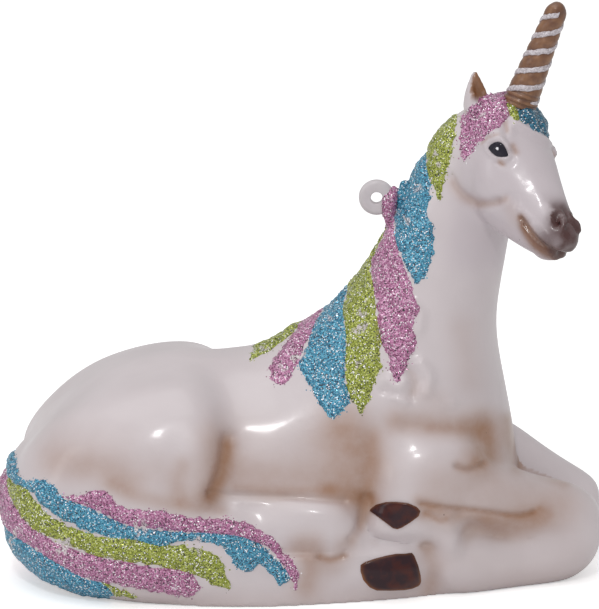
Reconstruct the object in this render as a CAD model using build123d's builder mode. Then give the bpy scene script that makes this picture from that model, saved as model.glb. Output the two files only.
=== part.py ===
# A lying unicorn, cast in glossy white resin, with a pegged spiral horn, a plastic hanging eyelet,
# dark enamelled hooves and eyes, and raised glitter coats on its mane, forelock and tail.
from build123d import *
import os
from math import atan2, cos, degrees, radians, sin

# Overall sizes in millimetres: X runs to the knees, -Y to the near side, Z up from the table
body_length = 100.0  # rump to the front of the knees
figure_height = 100.0  # table to the tip of the horn
body_width = 50.0  # across the haunches
head_length = 31.4  # poll to lips
head_turn = 44.0  # degrees that the head looks towards the near side
head_tilt = 15.0  # degrees that the far side of the head hangs lower

horn_base_radius = 2.9
horn_tip_radius = 1.75
horn_length = 18.4
horn_lean = 75.8  # degrees above the level of the head
horn_seat_depth = 0.8
peg_radius = 1.4
peg_length = 4.0
peg_clearance = 0.1
stripe_pitch = 6.4
stripe_width = 0.8
stripe_thickness = 0.4  # half of it stands out of the horn
stripe_start = 2.0  # from the horn's seat

eyelet_outer_radius = 3.0
eyelet_hole_radius = 1.0
eyelet_thickness = 1.8
eyelet_edge_chamfer = 0.4
eyelet_stem_radius = 1.1
eyelet_stem_length = 8.0  # from the middle of the ring into the neck
eyelet_stem_dip = 10.0  # degrees
eyelet_clearance = 0.1

eye_radius = 1.75
brow_slope = 24.0  # degrees that the brow slopes down towards the nose

coat_thickness = 0.7  # of the raised mane, forelock and tail
coat_crest_reach = 2.0  # how far the mane reaches over the crest to the far side
forelock_depth = 9.0  # where the forelock ends behind the head, from the photograph's plane
hoof_thickness = 0.6  # of the thick enamel on the hooves
hoof_depth = 3.0  # where the hooves end behind, from the photograph's plane
mouth_groove_depth = 0.45
mouth_groove_width = 0.4
cut_reach = 60.0  # longer than any cut through the figure

# The coats and hooves were traced from a photograph taken from slightly above
view_tilt = 15.0  # degrees
photo_span = 605.0  # pixels that the body length and the figure height both cover
photo_centre = (299.5, 304.5)
photo_centre_height_share = 0.454  # of the figure height


def place(forward_share, side_share, height_share):
    # A point in shares of the length, of the width towards the near side, and of the height
    return Vector(
        body_length * forward_share, -body_width * side_share, figure_height * height_share
    )


# Local x runs forward and local y up, so local z points to the near side
profile = Plane.XZ
poll = place(0.31, -0.008, 0.79)
near_side = Vector(-sin(radians(head_turn)), -cos(radians(head_turn)), 0) * cos(radians(head_tilt))
head_frame = Plane(
    origin=poll,
    x_dir=(cos(radians(head_turn)), -sin(radians(head_turn)), 0),
    z_dir=near_side + Vector(0, 0, sin(radians(head_tilt))),
)
photo_plane = Plane(
    origin=place(0, 0, photo_centre_height_share),
    x_dir=(1, 0, 0),
    z_dir=(0, -cos(radians(view_tilt)), sin(radians(view_tilt))),
)


def oval(frame, top, low, half_width, side):
    # One oval slice standing across a profile, from its top point to its low point
    start = frame.from_local_coords(Vector(top.X, top.Y, side))
    end = frame.from_local_coords(Vector(low.X, low.Y, side))
    across = end - start
    plane = Plane(origin=(start + end) / 2, x_dir=across, z_dir=across.cross(frame.z_dir))
    with BuildSketch(plane) as slice_face:
        Ellipse(across.length / 2, half_width)
    return slice_face.sketch


def skin(frame, shares, x_size, y_size, side_size, swell=0.0):
    # A smooth skin over oval slices. Rows: top x, top y, low x, low y, half width, side of middle
    slices = []
    for top_x, top_y, low_x, low_y, half_width, side in shares:
        top = Vector(x_size * top_x, y_size * top_y)
        low = Vector(x_size * low_x, y_size * low_y)
        grow = (top - low).normalized() * swell
        half = side_size * half_width + swell
        slices.append(oval(frame, top + grow, low - grow, half, side_size * side))
    with BuildPart() as form:
        loft(slices)
    return form.part


def body_form(shares, swell=0.0):
    return skin(profile, shares, body_length, figure_height, body_width, swell)


def head_form(shares, swell=0.0):
    return skin(head_frame, shares, head_length, head_length, head_length, swell)


def mound(frame, place_shares, radii, slope=0.0):
    # An egg shape standing in a frame, as a cheek or an eyeball
    with BuildPart() as form:
        Sphere(1)
        scale(by=radii)
    centre = Vector(*place_shares) * head_length
    return form.part.moved(frame.location * Location(centre, (0, 0, slope)))


# Trunk and neck as one skin, from the rump over the back and up to the poll
trunk_shares = [
    (-0.478, 0.16, -0.478, 0.09, 0.08, 0),
    (-0.462, 0.218, -0.465, 0.055, 0.22, 0),
    (-0.415, 0.271, -0.418, 0.02, 0.34, 0),
    (-0.335, 0.333, -0.335, -0.03, 0.40, 0),
    (-0.23, 0.367, -0.23, -0.075, 0.42, 0),
    (-0.125, 0.372, -0.125, -0.075, 0.41, 0),
    (-0.055, 0.385, 0.02, -0.085, 0.40, 0),
    (-0.01, 0.413, 0.175, -0.085, 0.385, 0),
    (0.03, 0.436, 0.348, 0.03, 0.36, 0),
    (0.071, 0.471, 0.367, 0.215, 0.31, 0),
    (0.105, 0.512, 0.347, 0.325, 0.26, 0),
    (0.140, 0.573, 0.333, 0.42, 0.21, 0),
    (0.175, 0.643, 0.340, 0.505, 0.18, 0),
    (0.208, 0.709, 0.355, 0.598, 0.16, 0),
    (0.243, 0.764, 0.363, 0.665, 0.14, 0.01),
    (0.289, 0.799, 0.366, 0.715, 0.115, 0.02),
    (0.325, 0.804, 0.375, 0.74, 0.09, 0.03),
]

# The limbs of the near side, which the casting mirrors to the far side
haunch_shares = [
    (-0.476, 0.17, -0.476, 0.10, 0.06, 0.2),
    (-0.456, 0.229, -0.458, 0.065, 0.155, 0.20),
    (-0.39, 0.292, -0.39, 0.035, 0.225, 0.215),
    (-0.295, 0.341, -0.30, -0.02, 0.26, 0.22),
    (-0.20, 0.356, -0.21, -0.03, 0.275, 0.22),
    (-0.145, 0.343, -0.16, 0.05, 0.24, 0.22),
    (-0.117, 0.31, -0.135, 0.14, 0.18, 0.22),
    (-0.106, 0.28, -0.118, 0.20, 0.09, 0.22),
]
hind_cannon_shares = [
    (-0.30, 0.165, -0.30, 0.05, 0.11, 0.33),
    (-0.15, 0.172, -0.15, 0.06, 0.115, 0.345),
    (-0.02, 0.178, -0.02, 0.065, 0.11, 0.35),
    (0.045, 0.183, 0.045, 0.065, 0.125, 0.345),
    (0.085, 0.168, 0.085, 0.07, 0.11, 0.34),
    (0.106, 0.135, 0.106, 0.09, 0.05, 0.335),
]
hind_pastern_shares = [
    (0.045, 0.12, 0.02, 0.04, 0.08, 0.36),
    (0.10, 0.105, 0.075, 0.01, 0.085, 0.365),
    (0.165, 0.095, 0.14, 0.0, 0.085, 0.36),
    (0.215, 0.08, 0.205, 0.02, 0.06, 0.34),
]
upper_arm_shares = [
    (0.105, 0.21, 0.105, 0.14, 0.06, 0.26),
    (0.135, 0.265, 0.135, 0.09, 0.14, 0.26),
    (0.20, 0.29, 0.19, 0.06, 0.175, 0.255),
    (0.265, 0.285, 0.25, 0.07, 0.165, 0.24),
    (0.31, 0.255, 0.30, 0.10, 0.12, 0.22),
    (0.325, 0.22, 0.325, 0.15, 0.05, 0.21),
]
fore_cannon_shares = [
    (0.508, 0.09, 0.508, 0.06, 0.05, 0.13),
    (0.497, 0.112, 0.49, 0.02, 0.105, 0.14),
    (0.43, 0.112, 0.43, -0.01, 0.125, 0.165),
    (0.34, 0.102, 0.34, -0.015, 0.12, 0.22),
    (0.255, 0.118, 0.255, -0.01, 0.12, 0.28),
    (0.215, 0.11, 0.215, 0.01, 0.09, 0.30),
    (0.195, 0.085, 0.195, 0.04, 0.04, 0.30),
]
fore_pastern_shares = [
    (0.265, 0.13, 0.235, 0.05, 0.08, 0.31),
    (0.205, 0.168, 0.17, 0.095, 0.085, 0.335),
    (0.145, 0.178, 0.12, 0.108, 0.065, 0.345),
    (0.118, 0.165, 0.108, 0.125, 0.03, 0.345),
]

# The two forearms differ: the near one lies lower and further out
near_forearm_shares = [
    (0.19, 0.19, 0.17, 0.08, 0.11, 0.29),
    (0.27, 0.205, 0.24, 0.09, 0.135, 0.265),
    (0.345, 0.203, 0.32, 0.08, 0.135, 0.215),
    (0.415, 0.173, 0.39, 0.06, 0.13, 0.165),
    (0.472, 0.152, 0.455, 0.05, 0.125, 0.14),
    (0.502, 0.125, 0.494, 0.045, 0.105, 0.13),
    (0.511, 0.10, 0.509, 0.065, 0.05, 0.13),
]
far_forearm_shares = [
    (0.27, 0.26, 0.22, 0.06, 0.13, -0.22),
    (0.36, 0.22, 0.31, 0.05, 0.14, -0.18),
    (0.414, 0.187, 0.38, 0.02, 0.135, -0.15),
    (0.466, 0.152, 0.44, 0.01, 0.13, -0.14),
    (0.507, 0.124, 0.496, 0.02, 0.11, -0.135),
    (0.518, 0.09, 0.515, 0.06, 0.05, -0.13),
]

# The tail lies round the rump; rows: forward, side, top, low, half thickness, heading in degrees
tail_shares = [
    (-0.438, -0.08, 0.225, 0.15, 0.05, -112),
    (-0.455, 0.03, 0.222, 0.08, 0.08, -96),
    (-0.455, 0.165, 0.212, 0.045, 0.098, -76),
    (-0.416, 0.29, 0.20, 0.018, 0.11, -48),
    (-0.345, 0.376, 0.188, 0.003, 0.107, -24),
    (-0.24, 0.42, 0.172, -0.004, 0.095, -8),
    (-0.12, 0.425, 0.158, -0.018, 0.08, 0),
    (-0.045, 0.42, 0.115, -0.012, 0.065, 3),
    (-0.005, 0.405, 0.06, 0.01, 0.03, 5),
]


def tail_form(swell=0.0):
    slices = []
    for forward, side, top, low, half_thickness, heading in tail_shares:
        middle = place(forward, side, (top + low) / 2)
        ahead = (cos(radians(heading)), sin(radians(heading)), 0)
        with BuildSketch(Plane(origin=middle, x_dir=(0, 0, 1), z_dir=ahead)) as slice_face:
            Ellipse(figure_height * (top - low) / 2 + swell, body_width * half_thickness + swell)
        slices.append(slice_face.sketch)
    with BuildPart() as form:
        loft(slices)
    return form.part


# The ground fill under the legs, a closed outline in shares of the length and the width
footprint_shares = [
    (-0.425, 0), (-0.37, 0.21), (-0.30, 0.38), (-0.19, 0.47), (-0.05, 0.48),
    (0.08, 0.44), (0.22, 0.375), (0.335, 0.285), (0.43, 0.178), (0.47, 0),
    (0.43, -0.178), (0.335, -0.285), (0.22, -0.375), (0.08, -0.44),
    (-0.05, -0.48), (-0.19, -0.47), (-0.30, -0.38), (-0.37, -0.21),
]
fill_height_share = 0.085
fill_flare_share = 0.03


def footprint(height_share, flare_share):
    with BuildSketch(Plane.XY.offset(figure_height * height_share)) as outline:
        with BuildLine():
            Spline(
                [
                    (body_length * x * (1 + flare_share), body_width * y * (1 + flare_share))
                    for x, y in footprint_shares
                ],
                periodic=True,
            )
        make_face()
    return outline.sketch


with BuildPart() as ground_fill:
    loft([footprint(0, 0), footprint(fill_height_share, fill_flare_share)])

# The head, from the back of the skull down to the lips, in shares of its length
head_shares = [
    (-0.03, 0.0, -0.12, -0.29, 0.12, 0),
    (0.10, 0.094, 0.0, -0.41, 0.17, 0),
    (0.225, 0.084, 0.07, -0.49, 0.21, 0),
    (0.345, -0.034, 0.16, -0.56, 0.238, 0),
    (0.443, -0.155, 0.24, -0.61, 0.216, 0),
    (0.528, -0.269, 0.325, -0.64, 0.182, 0),
    (0.60, -0.364, 0.42, -0.67, 0.15, 0),
    (0.657, -0.432, 0.50, -0.69, 0.134, 0),
    (0.705, -0.487, 0.57, -0.70, 0.12, 0),
    (0.738, -0.54, 0.63, -0.695, 0.095, 0),
    (0.748, -0.60, 0.69, -0.67, 0.045, 0),
]
skull_rows = 6  # the rows that the forelock lies on
cheek_place_shares = (0.13, -0.29, 0.10)
cheek_radius_shares = (0.19, 0.20, 0.12)
brow_place_shares = (0.28, -0.14, 0.165)
brow_radius_shares = (0.10, 0.048, 0.062)
nostril_place_shares = (0.673, -0.515, 0.066)
nostril_radius_shares = (0.05, 0.05, 0.046)
nostril_hole_place_shares = (0.69, -0.51, 0.122)
nostril_hole_shares = (0.03, 0.036, 0.03)
chin_place_shares = (0.585, -0.675, 0)
chin_radius_shares = (0.065, 0.04, 0.07)
eye_place_shares = (0.285, -0.195, 0.175)
mouth_shares = [(0.47, -0.535), (0.56, -0.61), (0.65, -0.645), (0.78, -0.65)]

# Ears and their hollows, in rows from the root to the tip
ear_shares = [
    (0.118, -0.03, -0.012, -0.03, 0.07, 0.135),
    (0.12, 0.045, -0.017, 0.035, 0.065, 0.15),
    (0.096, 0.11, 0.0, 0.105, 0.045, 0.17),
    (0.05, 0.185, 0.026, 0.185, 0.009, 0.19),
]
ear_hollow_shares = [
    (0.14, 0.02, 0.06, 0.02, 0.03, 0.165),
    (0.14, 0.075, 0.05, 0.07, 0.03, 0.175),
    (0.11, 0.125, 0.035, 0.12, 0.018, 0.19),
    (0.055, 0.165, 0.04, 0.165, 0.005, 0.20),
]


def head_radii(shares):
    return tuple(head_length * share for share in shares)


def head_pair(near_part):
    # The near form and its mirror image across the middle of the head
    with BuildPart() as pair:
        add(near_part)
        add(near_part.mirror(head_frame))
    return pair.part


cheek = mound(head_frame, cheek_place_shares, head_radii(cheek_radius_shares))
brow = mound(head_frame, brow_place_shares, head_radii(brow_radius_shares), -brow_slope)
nostril = mound(head_frame, nostril_place_shares, head_radii(nostril_radius_shares))
nostril_hole = mound(head_frame, nostril_hole_place_shares, head_radii(nostril_hole_shares))
chin = mound(head_frame, chin_place_shares, head_radii(chin_radius_shares))
with BuildPart() as eyeball:
    Sphere(eye_radius)
eye_place = head_frame.from_local_coords(Vector(*eye_place_shares) * head_length)
near_eye = eyeball.part.moved(Location(eye_place))
far_eye = near_eye.mirror(head_frame)

# The mouth is a shallow groove round the front of the muzzle
with BuildPart() as mouth_groove:
    with BuildSketch(head_frame):
        with BuildLine():
            lip_line = Spline([(head_length * x, head_length * y) for x, y in mouth_shares])
        trace(lip_line, mouth_groove_width)
    extrude(amount=cut_reach / 2, both=True)
    add(head_form(head_shares, -mouth_groove_depth), mode=Mode.SUBTRACT)

# The horn stands on a flat seat sunk into the forehead, and its peg fits a socket
horn_root_share = (0.226, 0.075)
up_head = head_frame.y_dir
horn_axis = head_frame.x_dir * cos(radians(horn_lean)) + up_head * sin(radians(horn_lean))
horn_root = head_frame.from_local_coords(Vector(*horn_root_share) * head_length)
horn_plane = Plane(origin=horn_root - horn_axis * horn_seat_depth, z_dir=horn_axis)
horn_cone_length = horn_length - horn_tip_radius

with BuildPart() as horn:
    with BuildSketch(horn_plane):
        Circle(horn_base_radius)
    with BuildSketch(horn_plane.offset(horn_cone_length)):
        Circle(horn_tip_radius)
    loft()
    with Locations(horn_plane.offset(horn_cone_length)):
        Sphere(horn_tip_radius)
    with BuildSketch(horn_plane):
        Circle(peg_radius)
    extrude(amount=-peg_length)

# Two flat white bands wind up the horn, opposite each other
horn_slope = (horn_base_radius - horn_tip_radius) / horn_cone_length
with BuildPart() as first_stripe:
    with BuildLine():
        coil = Helix(
            pitch=stripe_pitch,
            height=horn_cone_length - stripe_start,
            radius=horn_base_radius - stripe_start * horn_slope,
            center=horn_plane.origin + horn_axis * stripe_start,
            direction=horn_axis,
            cone_angle=-degrees(atan2(horn_slope, 1)),
        )
    stripe_foot = coil @ 0
    outward = stripe_foot - horn_plane.origin - horn_axis * stripe_start
    with BuildSketch(Plane(origin=stripe_foot, x_dir=outward, z_dir=coil % 0)):
        Rectangle(stripe_thickness, stripe_width)
    sweep(path=coil, is_frenet=True)
    add(horn.part, mode=Mode.SUBTRACT)
second_stripe = first_stripe.part.rotate(Axis(horn_plane.origin, horn_axis), 180)

with BuildPart() as horn_seat:
    with BuildSketch(horn_plane):
        Circle(horn_base_radius + peg_clearance)
    extrude(amount=horn_length)
    with BuildSketch(horn_plane):
        Circle(peg_radius + peg_clearance)
    extrude(amount=-peg_length - peg_clearance)

# The forelock stops just short of the seat
with BuildPart() as horn_room:
    with BuildSketch(horn_plane):
        Circle(horn_base_radius + peg_clearance * 2)
    extrude(amount=horn_length, both=True)

# The eyelet's ring stands in the middle plane of the body, and its stem runs into the crest
eyelet_centre = place(0.129, 0, 0.64)
stem_direction = Vector(cos(radians(eyelet_stem_dip)), 0, -sin(radians(eyelet_stem_dip)))
stem_plane = Plane(origin=eyelet_centre, z_dir=stem_direction)
ring_plane = Plane(origin=eyelet_centre, x_dir=stem_direction, z_dir=(0, -1, 0))
with BuildPart() as hanging_eyelet:
    with BuildSketch(ring_plane):
        Circle(eyelet_outer_radius)
    extrude(amount=eyelet_thickness / 2, both=True)
    chamfer(hanging_eyelet.edges().filter_by(GeomType.CIRCLE), eyelet_edge_chamfer)
    with BuildSketch(stem_plane.offset(eyelet_outer_radius / 2)):
        Circle(eyelet_stem_radius)
    extrude(amount=eyelet_stem_length - eyelet_outer_radius / 2)
    with BuildSketch(ring_plane):
        Circle(eyelet_hole_radius)
    extrude(amount=eyelet_thickness, both=True, mode=Mode.SUBTRACT)

with BuildPart() as eyelet_room:
    with BuildSketch(stem_plane):
        Circle(eyelet_stem_radius + eyelet_clearance)
    extrude(amount=eyelet_stem_length + eyelet_clearance)

with BuildPart() as eyelet_ring_room:
    with BuildSketch(ring_plane):
        Circle(eyelet_outer_radius + eyelet_clearance)
    extrude(amount=eyelet_thickness / 2 + eyelet_clearance, both=True)


def traced(pixels):
    # Photograph pixels to places on the photograph's plane
    return [
        (
            body_length * (u - photo_centre[0]) / photo_span,
            figure_height * (photo_centre[1] - v) / photo_span,
        )
        for u, v in pixels
    ]


def lock_prism(edges, earlier, depth):
    # A lock's outline, from its root down both edges to its tip, pushed along the view.
    # Locks that lie over it are taken out of the outline first.
    with BuildPart() as prism:
        with BuildSketch(photo_plane.offset(depth)):
            for pixels, mode in [(edges, Mode.ADD)] + [(other, Mode.SUBTRACT) for other in earlier]:
                with BuildLine():
                    for edge in pixels:
                        Spline(traced(edge))
                make_face(mode=mode)
        extrude(amount=cut_reach * 2)
    return prism.part


mane_pixels = {
    "mane_green_poll": (
        [(464, 101), (446, 103), (430, 122), (422, 150), (427, 172), (434, 186), (440, 197)],
        [(464, 101), (457, 120), (451, 148), (446, 178), (440, 197)],
    ),
    "mane_blue_crest": (
        [(436, 120), (412, 150), (398, 180), (396, 205), (395, 230), (402, 256), (408, 272), (416, 282)],
        [(436, 120), (436, 160), (430, 196), (427, 225), (433, 250), (426, 270), (416, 282)],
    ),
    "mane_pink_eyelet": (
        [(404, 172), (380, 196), (371, 235), (373, 268), (375, 292), (380, 325), (387, 356), (399, 379)],
        [(404, 172), (402, 205), (396, 240), (405, 273), (416, 300), (410, 326), (411, 348), (399, 379)],
    ),
    "mane_green_mid": (
        [(384, 228), (360, 246), (344, 272), (342, 304), (349, 335), (347, 366), (348, 388), (361, 409)],
        [(384, 228), (384, 270), (378, 300), (380, 338), (380, 372), (371, 393), (361, 409)],
    ),
    "mane_blue_low": (
        [(356, 262), (330, 290), (318, 322), (310, 345), (301, 366), (308, 388), (320, 400), (331, 418)],
        [(356, 262), (352, 300), (349, 345), (345, 376), (348, 395), (341, 410), (331, 418)],
    ),
    "mane_pink_low": (
        [(346, 278), (316, 300), (293, 322), (280, 346), (270, 368), (276, 384)],
        [(346, 278), (330, 306), (314, 332), (301, 358), (290, 376), (276, 384)],
    ),
    "mane_green_thin": (
        [(326, 292), (300, 310), (280, 326), (268, 342), (255, 358)],
        [(326, 292), (310, 318), (292, 334), (272, 351), (255, 358)],
    ),
}
forelock_pixels = {
    "forelock_green": (
        [(505, 103), (507, 110), (511, 117), (517, 121)],
        [(505, 103), (514, 108), (517, 114), (517, 121)],
    ),
    "forelock_pink": (
        [(507, 88), (486, 96), (467, 112), (460, 134), (461, 150), (465, 160)],
        [(507, 88), (513, 102), (507, 117), (493, 127), (480, 142), (465, 160)],
    ),
    "forelock_blue": (
        [(512, 96), (514, 108), (523, 124), (538, 133), (553, 143)],
        [(512, 96), (530, 100), (546, 112), (558, 128), (553, 143)],
    ),
}
tail_pixels = {
    "tail_pink_top": (
        [(58, 488), (88, 492), (106, 493), (120, 505), (148, 511), (184, 518), (222, 518), (258, 526),
         (282, 537), (296, 558), (304, 575), (295, 588)],
        [(58, 488), (82, 508), (110, 516), (140, 525), (180, 531), (230, 534), (256, 541), (281, 558),
         (289, 574), (295, 588)],
    ),
    "tail_blue_top": (
        [(8, 436), (24, 478), (45, 482), (66, 496), (96, 508), (136, 520), (200, 528), (253, 536),
         (282, 556), (290, 572), (283, 583)],
        [(8, 436), (8, 474), (30, 492), (48, 510), (77, 531), (130, 540), (184, 548), (220, 548),
         (240, 568), (251, 574), (263, 560), (272, 576), (283, 583)],
    ),
    "tail_green": (
        [(16, 470), (30, 486), (46, 508), (77, 528), (130, 538), (184, 545), (212, 555), (224, 566),
         (228, 587)],
        [(16, 470), (12, 508), (37, 532), (77, 556), (129, 566), (180, 569), (205, 580), (228, 587)],
    ),
    "tail_pink_low": (
        [(-6, 466), (12, 478), (14, 506), (40, 532), (77, 552), (129, 564), (177, 568), (192, 578),
         (197, 594)],
        [(-6, 466), (-6, 505), (5, 525), (28, 547), (63, 566), (103, 583), (150, 590), (197, 594)],
    ),
    "tail_blue_low": (
        [(2, 528), (20, 541), (48, 556), (80, 570), (100, 579), (120, 595)],
        [(2, 528), (14, 548), (42, 570), (78, 590), (120, 595)],
    ),
}


# The dark enamel of the near hooves, with the upper edge first
hoof_pixels = {
    "hoof_fore": (
        [(369, 511), (381.5, 503), (396, 502), (409, 503.5), (420.5, 511)],
        [(369, 511), (386, 523), (397, 530), (412, 521), (420.5, 511)],
    ),
    "hoof_hind": (
        [(361, 564), (386, 557.5), (412, 552.5), (418, 560), (421.5, 576)],
        [(361, 564), (361, 574), (367, 586), (378, 590.5), (400, 591), (416, 588), (421.5, 576)],
    ),
}


def cut_locks(swollen_skin, outlines, rooms, depth=-cut_reach):
    # What each outline takes from a swollen skin, less what lies under it and beside it
    locks = {}
    earlier = []
    for name, edges in outlines.items():
        with BuildPart() as lock:
            add(swollen_skin)
            add(lock_prism(edges, earlier, depth), clean=False, mode=Mode.INTERSECT)
            for room in rooms:
                add(room, clean=False, mode=Mode.SUBTRACT)
        locks[name] = lock.part.solids().sort_by(SortBy.VOLUME)[-1]
        earlier.append(edges)
    return locks


os.makedirs("parts", exist_ok=True)
with BuildPart() as body_casting:
    add(body_form(trunk_shares))
    add(head_form(head_shares))
    for shares in (
        haunch_shares, hind_cannon_shares, hind_pastern_shares, upper_arm_shares,
        fore_cannon_shares, fore_pastern_shares,
    ):
        limb = body_form(shares)
        add(limb)
        add(limb.mirror(Plane.XZ))
    add(body_form(near_forearm_shares))
    add(body_form(far_forearm_shares))
    add(tail_form())
    add(ground_fill.part)
    for near_feature in (cheek, brow, nostril, head_form(ear_shares)):
        add(head_pair(near_feature))
    add(chin)
    split(bisect_by=Plane.XY, keep=Keep.TOP)
    add(head_pair(nostril_hole), mode=Mode.SUBTRACT)
    add(head_pair(head_form(ear_hollow_shares)), mode=Mode.SUBTRACT)
    add(mouth_groove.part, mode=Mode.SUBTRACT)
    add(near_eye, mode=Mode.SUBTRACT)
    add(far_eye, mode=Mode.SUBTRACT)
    add(horn_seat.part, mode=Mode.SUBTRACT)
    add(eyelet_room.part, mode=Mode.SUBTRACT)
body_casting.part.label = "body_casting"
export_step(body_casting.part, "parts/body_casting.step")

horn.part.label = "horn"
export_step(horn.part, "parts/horn.step")
for name, stripe in (("horn_stripe_first", first_stripe.part), ("horn_stripe_second", second_stripe)):
    stripe.label = name
    export_step(stripe, f"parts/{name}.step")
hanging_eyelet.part.label = "hanging_eyelet"
export_step(hanging_eyelet.part, "parts/hanging_eyelet.step")
for name, eye in (("eye_right", near_eye), ("eye_left", far_eye)):
    eye.label = name
    export_step(eye, f"parts/{name}.step")

# The coats are what stands out of the casting between the plain skin and a swollen one
with BuildPart() as mane_skin:
    add(body_form(trunk_shares, coat_thickness))
    split(bisect_by=Plane.XZ.offset(-coat_crest_reach), keep=Keep.TOP)
with BuildPart() as tail_skin:
    add(tail_form(coat_thickness))
    split(bisect_by=Plane.XY, keep=Keep.TOP)
with BuildPart() as foot_skin:
    for shares in (fore_pastern_shares, hind_pastern_shares):
        add(body_form(shares, hoof_thickness))
    split(bisect_by=Plane.XY, keep=Keep.TOP)
skull_skin = head_form(head_shares[:skull_rows], coat_thickness)

casting = body_casting.part
locks = cut_locks(mane_skin.part, mane_pixels, [eyelet_room.part, eyelet_ring_room.part, casting])
locks.update(cut_locks(skull_skin, forelock_pixels, [horn_room.part, casting], forelock_depth))
locks.update(cut_locks(tail_skin.part, tail_pixels, [casting]))
for name, hoof in cut_locks(foot_skin.part, hoof_pixels, [casting], hoof_depth).items():
    locks[f"{name}_right"] = hoof
far_casting = casting.mirror(Plane.XZ)
for name, hoof in cut_locks(foot_skin.part, hoof_pixels, [far_casting], hoof_depth).items():
    locks[f"{name}_left"] = hoof.mirror(Plane.XZ)
for name, lock in locks.items():
    lock.label = name
    export_step(lock, f"parts/{name}.step")
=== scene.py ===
import bmesh
import bpy
import math
import numpy as np
from mathutils import Matrix, Vector
from mathutils.bvhtree import BVHTree


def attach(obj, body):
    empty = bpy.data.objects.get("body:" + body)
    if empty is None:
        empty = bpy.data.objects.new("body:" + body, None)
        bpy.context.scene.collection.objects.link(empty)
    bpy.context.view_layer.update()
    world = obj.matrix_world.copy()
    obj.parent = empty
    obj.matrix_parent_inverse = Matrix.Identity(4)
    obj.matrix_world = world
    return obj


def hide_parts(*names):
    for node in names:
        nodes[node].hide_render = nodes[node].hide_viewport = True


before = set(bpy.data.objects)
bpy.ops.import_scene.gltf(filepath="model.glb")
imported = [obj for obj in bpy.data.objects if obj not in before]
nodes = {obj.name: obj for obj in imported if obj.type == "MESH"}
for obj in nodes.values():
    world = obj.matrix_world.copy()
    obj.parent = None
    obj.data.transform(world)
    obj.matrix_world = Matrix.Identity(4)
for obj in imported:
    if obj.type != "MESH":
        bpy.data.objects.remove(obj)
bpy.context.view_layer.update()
mm = 0.001
scene = bpy.context.scene
print("frame loaded,", len(nodes), "nodes")


# Camera, as the photograph was taken
view = {"tilt": 15.0, "distance": 0.620, "aimHeight": 0.0454, "lens": 217.3, "pixelsPerMetre": 5930.0,
        "middle": (299.5, 304.5)}

tilt = math.radians(view["tilt"])
viewBack = np.array([0.0, -math.cos(tilt), math.sin(tilt)])
viewUp = np.array([0.0, math.sin(tilt), math.cos(tilt)])
aim = np.array([0.0, 0.0, view["aimHeight"]])
pixel = 1.0 / view["pixelsPerMetre"]
middleU, middleV = view["middle"]


def inView(points):
    # Where points of the figurine lie in the front picture, 599 by 609
    offset = points - aim
    depth = view["distance"] - offset @ viewBack
    scale = view["distance"] / (depth * pixel)
    return np.stack([middleU + offset[:, 0] * scale, middleV - (offset @ viewUp) * scale], 1)


def onViewPlane(u, v):
    # The place of a picture point on the plane through the aim
    return aim + np.array([(u - middleU) * pixel, 0.0, 0.0]) + viewUp * (middleV - v) * pixel


cameraData = bpy.data.cameras.new("camera")
cameraData.lens = view["lens"]
cameraData.sensor_width = 36.0
cameraData.clip_end = 20.0
camera = bpy.data.objects.new("camera", cameraData)
camera.location = Vector(aim + viewBack * view["distance"])
camera.rotation_euler = (math.pi / 2 - tilt, 0.0, 0.0)
scene.collection.objects.link(camera)
scene.camera = camera


# The head's own directions: forward along the nose, up, and towards the near cheek
headSettings = {"turn": 44.0, "tilt": 15.0, "length": 31.4 * mm, "poll": (31.0 * mm, 0.4 * mm, 79.0 * mm),
                "strokes": (0.0, -0.9, 0.4, 50.0 * mm), "washesAndShade": (-0.02, -0.95, 0.42, 52.0 * mm)}
turn, roll = math.radians(headSettings["turn"]), math.radians(headSettings["tilt"])
headForward = Vector((math.cos(turn), -math.sin(turn), 0.0))
headSide = Vector((-math.sin(turn) * math.cos(roll), -math.cos(turn) * math.cos(roll), math.sin(roll)))
headUp = headSide.cross(headForward)
headAxes = np.array([headForward, headUp, headSide])
poll = np.array(headSettings["poll"])


def inHead(points):
    return (points - poll) @ headAxes.T / headSettings["length"]


def isOnHead(points, bounds):
    # Bounds are the least shares forward and up, the most aside, and the least height
    forward, up, aside, height = bounds
    head = inHead(points)
    return (head[:, 0] > forward) & (head[:, 1] > up) & (np.abs(head[:, 2]) < aside) & (points[:, 2] > height)


def fromHead(share):
    return Vector(poll + np.array(share) @ headAxes * headSettings["length"])


def headMirror(points):
    return points - 2.0 * np.outer((points - poll) @ headAxes[2], headAxes[2])


def headMirrorWay(normals):
    return normals - 2.0 * np.outer(normals @ headAxes[2], headAxes[2])


# Small tools for meshes
def linkPiece(name, mesh):
    piece = bpy.data.objects.new(name, mesh)
    scene.collection.objects.link(piece)
    return piece


def pieceFrom(name, bm):
    mesh = bpy.data.meshes.new(name)
    bm.to_mesh(mesh)
    bm.free()
    return linkPiece(name, mesh)


def copyOfNodes(name, nodeNames):
    bm = bmesh.new()
    for nodeName in nodeNames:
        bm.from_mesh(nodes[nodeName].data)
    bmesh.ops.remove_doubles(bm, verts=bm.verts, dist=2e-6)
    return pieceFrom(name, bm)


def applyModifiers(piece):
    graph = bpy.context.evaluated_depsgraph_get()
    mesh = bpy.data.meshes.new_from_object(piece.evaluated_get(graph))
    piece.modifiers.clear()
    old = piece.data
    piece.data = mesh
    bpy.data.meshes.remove(old)
    mesh.name = piece.name


def remeshed(piece, voxel):
    modifier = piece.modifiers.new("remesh", "REMESH")
    modifier.mode = "VOXEL"
    modifier.voxel_size = voxel
    applyModifiers(piece)


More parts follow.
